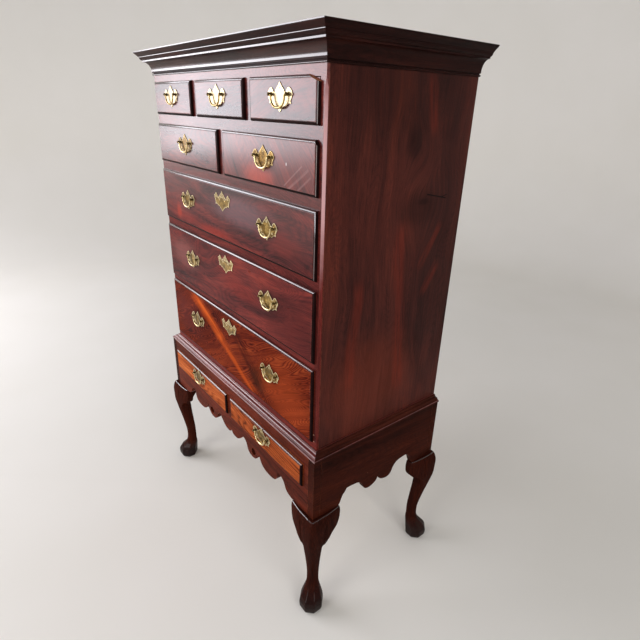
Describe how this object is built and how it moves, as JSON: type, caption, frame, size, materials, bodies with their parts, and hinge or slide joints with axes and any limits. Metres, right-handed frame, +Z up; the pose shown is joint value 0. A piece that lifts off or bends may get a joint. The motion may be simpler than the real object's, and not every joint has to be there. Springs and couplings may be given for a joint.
{
  "type": "highboy chest of drawers",
  "caption": "Tall chest of lipped drawers with a moulded cornice, standing on a scalloped frame with cabriole legs and swinging brass bail handles.",
  "frame": {"origin": "on the floor, at the middle of the overall width and depth", "axes": "+Z up, the drawers face -Y and +X is to the right as seen from the front"},
  "size_m": [1.076, 0.6036, 1.73],
  "materials": {
    "polished_case": "dark red-brown, old gloss",
    "polished_stand": "dark red-brown, old gloss",
    "figured_front": "figured red-brown, old gloss",
    "polished_leg": "almost black-brown, old gloss",
    "inner_wood": "bare, dry and darkened with age",
    "old_brass": "old, worn bright at the edges"
  },
  "bodies": {
    "case": {"upper_side_left": "polished_case", "upper_side_right": "polished_case", "upper_back": "inner_wood", "upper_drawer_frame": "polished_case", "cornice": "polished_case", "waist_moulding": "polished_stand", "stand_front": "polished_stand", "stand_side_left": "polished_stand", "stand_side_right": "polished_stand", "stand_back": "inner_wood", "leg_front_left": "polished_leg", "leg_front_right": "polished_leg", "leg_back_left": "polished_leg", "leg_back_right": "polished_leg"},
    "drawer_top_left": {"drawer_front_top_left": "figured_front", "drawer_box_top_left": "inner_wood", "handle_plate_top_left": "old_brass"},
    "drawer_top_middle": {"drawer_front_top_middle": "figured_front", "drawer_box_top_middle": "inner_wood", "handle_plate_top_middle": "old_brass"},
    "drawer_top_right": {"drawer_front_top_right": "figured_front", "drawer_box_top_right": "inner_wood", "handle_plate_top_right": "old_brass"},
    "drawer_pair_left": {"drawer_front_pair_left": "figured_front", "drawer_box_pair_left": "inner_wood", "handle_plate_pair_left": "old_brass"},
    "drawer_pair_right": {"drawer_front_pair_right": "figured_front", "drawer_box_pair_right": "inner_wood", "handle_plate_pair_right": "old_brass"},
    "drawer_long_upper": {"drawer_front_long_upper": "figured_front", "drawer_box_long_upper": "inner_wood", "handle_plate_long_upper_left": "old_brass", "handle_plate_long_upper_right": "old_brass"},
    "drawer_long_middle": {"drawer_front_long_middle": "figured_front", "drawer_box_long_middle": "inner_wood", "handle_plate_long_middle_left": "old_brass", "handle_plate_long_middle_right": "old_brass"},
    "drawer_long_lower": {"drawer_front_long_lower": "figured_front", "drawer_box_long_lower": "inner_wood", "handle_plate_long_lower_left": "old_brass", "handle_plate_long_lower_right": "old_brass"},
    "drawer_stand_left": {"drawer_front_stand_left": "figured_front", "drawer_box_stand_left": "inner_wood", "handle_plate_stand_left": "old_brass"},
    "drawer_stand_right": {"drawer_front_stand_right": "figured_front", "drawer_box_stand_right": "inner_wood", "handle_plate_stand_right": "old_brass"},
    "handle_top_left": {"bail_top_left": "old_brass"},
    "handle_top_middle": {"bail_top_middle": "old_brass"},
    "handle_top_right": {"bail_top_right": "old_brass"},
    "handle_pair_left": {"bail_pair_left": "old_brass"},
    "handle_pair_right": {"bail_pair_right": "old_brass"},
    "handle_long_upper_left": {"bail_long_upper_left": "old_brass"},
    "handle_long_upper_right": {"bail_long_upper_right": "old_brass"},
    "handle_long_middle_left": {"bail_long_middle_left": "old_brass"},
    "handle_long_middle_right": {"bail_long_middle_right": "old_brass"},
    "handle_long_lower_left": {"bail_long_lower_left": "old_brass"},
    "handle_long_lower_right": {"bail_long_lower_right": "old_brass"},
    "handle_stand_left": {"bail_stand_left": "old_brass"},
    "handle_stand_right": {"bail_stand_right": "old_brass"}
  },
  "joints": [
    {"name": "slide_top_left", "type": "slide", "parent": "case", "child": "drawer_top_left", "axis": [0, -1, 0], "range_m": [0, 0.36]},
    {"name": "slide_top_middle", "type": "slide", "parent": "case", "child": "drawer_top_middle", "axis": [0, -1, 0], "range_m": [0, 0.36]},
    {"name": "slide_top_right", "type": "slide", "parent": "case", "child": "drawer_top_right", "axis": [0, -1, 0], "range_m": [0, 0.36]},
    {"name": "slide_pair_left", "type": "slide", "parent": "case", "child": "drawer_pair_left", "axis": [0, -1, 0], "range_m": [0, 0.36]},
    {"name": "slide_pair_right", "type": "slide", "parent": "case", "child": "drawer_pair_right", "axis": [0, -1, 0], "range_m": [0, 0.36]},
    {"name": "slide_long_upper", "type": "slide", "parent": "case", "child": "drawer_long_upper", "axis": [0, -1, 0], "range_m": [0, 0.36]},
    {"name": "slide_long_middle", "type": "slide", "parent": "case", "child": "drawer_long_middle", "axis": [0, -1, 0], "range_m": [0, 0.36]},
    {"name": "slide_long_lower", "type": "slide", "parent": "case", "child": "drawer_long_lower", "axis": [0, -1, 0], "range_m": [0, 0.36]},
    {"name": "slide_stand_left", "type": "slide", "parent": "case", "child": "drawer_stand_left", "axis": [0, -1, 0], "range_m": [0, 0.36]},
    {"name": "slide_stand_right", "type": "slide", "parent": "case", "child": "drawer_stand_right", "axis": [0, -1, 0], "range_m": [0, 0.36]},
    {"name": "swing_top_left", "type": "hinge", "parent": "drawer_top_left", "child": "handle_top_left", "pos_m": [-0.32567, -0.27029, 1.5965], "axis": [-1, 0, 0], "range_deg": [-5, 120]},
    {"name": "swing_top_middle", "type": "hinge", "parent": "drawer_top_middle", "child": "handle_top_middle", "pos_m": [0, -0.27029, 1.5965], "axis": [-1, 0, 0], "range_deg": [-5, 120]},
    {"name": "swing_top_right", "type": "hinge", "parent": "drawer_top_right", "child": "handle_top_right", "pos_m": [0.32567, -0.27029, 1.5965], "axis": [-1, 0, 0], "range_deg": [-5, 120]},
    {"name": "swing_pair_left", "type": "hinge", "parent": "drawer_pair_left", "child": "handle_pair_left", "pos_m": [-0.2445, -0.27029, 1.4506], "axis": [-1, 0, 0], "range_deg": [-5, 120]},
    {"name": "swing_pair_right", "type": "hinge", "parent": "drawer_pair_right", "child": "handle_pair_right", "pos_m": [0.2445, -0.27029, 1.4506], "axis": [-1, 0, 0], "range_deg": [-5, 120]},
    {"name": "swing_long_upper_left", "type": "hinge", "parent": "drawer_long_upper", "child": "handle_long_upper_left", "pos_m": [-0.256, -0.27029, 1.268], "axis": [-1, 0, 0], "range_deg": [-5, 120]},
    {"name": "swing_long_upper_right", "type": "hinge", "parent": "drawer_long_upper", "child": "handle_long_upper_right", "pos_m": [0.256, -0.27029, 1.268], "axis": [-1, 0, 0], "range_deg": [-5, 120]},
    {"name": "swing_long_middle_left", "type": "hinge", "parent": "drawer_long_middle", "child": "handle_long_middle_left", "pos_m": [-0.256, -0.27029, 1.053], "axis": [-1, 0, 0], "range_deg": [-5, 120]},
    {"name": "swing_long_middle_right", "type": "hinge", "parent": "drawer_long_middle", "child": "handle_long_middle_right", "pos_m": [0.256, -0.27029, 1.053], "axis": [-1, 0, 0], "range_deg": [-5, 120]},
    {"name": "swing_long_lower_left", "type": "hinge", "parent": "drawer_long_lower", "child": "handle_long_lower_left", "pos_m": [-0.256, -0.27029, 0.809], "axis": [-1, 0, 0], "range_deg": [-5, 120]},
    {"name": "swing_long_lower_right", "type": "hinge", "parent": "drawer_long_lower", "child": "handle_long_lower_right", "pos_m": [0.256, -0.27029, 0.809], "axis": [-1, 0, 0], "range_deg": [-5, 120]},
    {"name": "swing_stand_left", "type": "hinge", "parent": "drawer_stand_left", "child": "handle_stand_left", "pos_m": [-0.237, -0.29429, 0.567], "axis": [-1, 0, 0], "range_deg": [-5, 120]},
    {"name": "swing_stand_right", "type": "hinge", "parent": "drawer_stand_right", "child": "handle_stand_right", "pos_m": [0.237, -0.29429, 0.567], "axis": [-1, 0, 0], "range_deg": [-5, 120]}
  ]
}
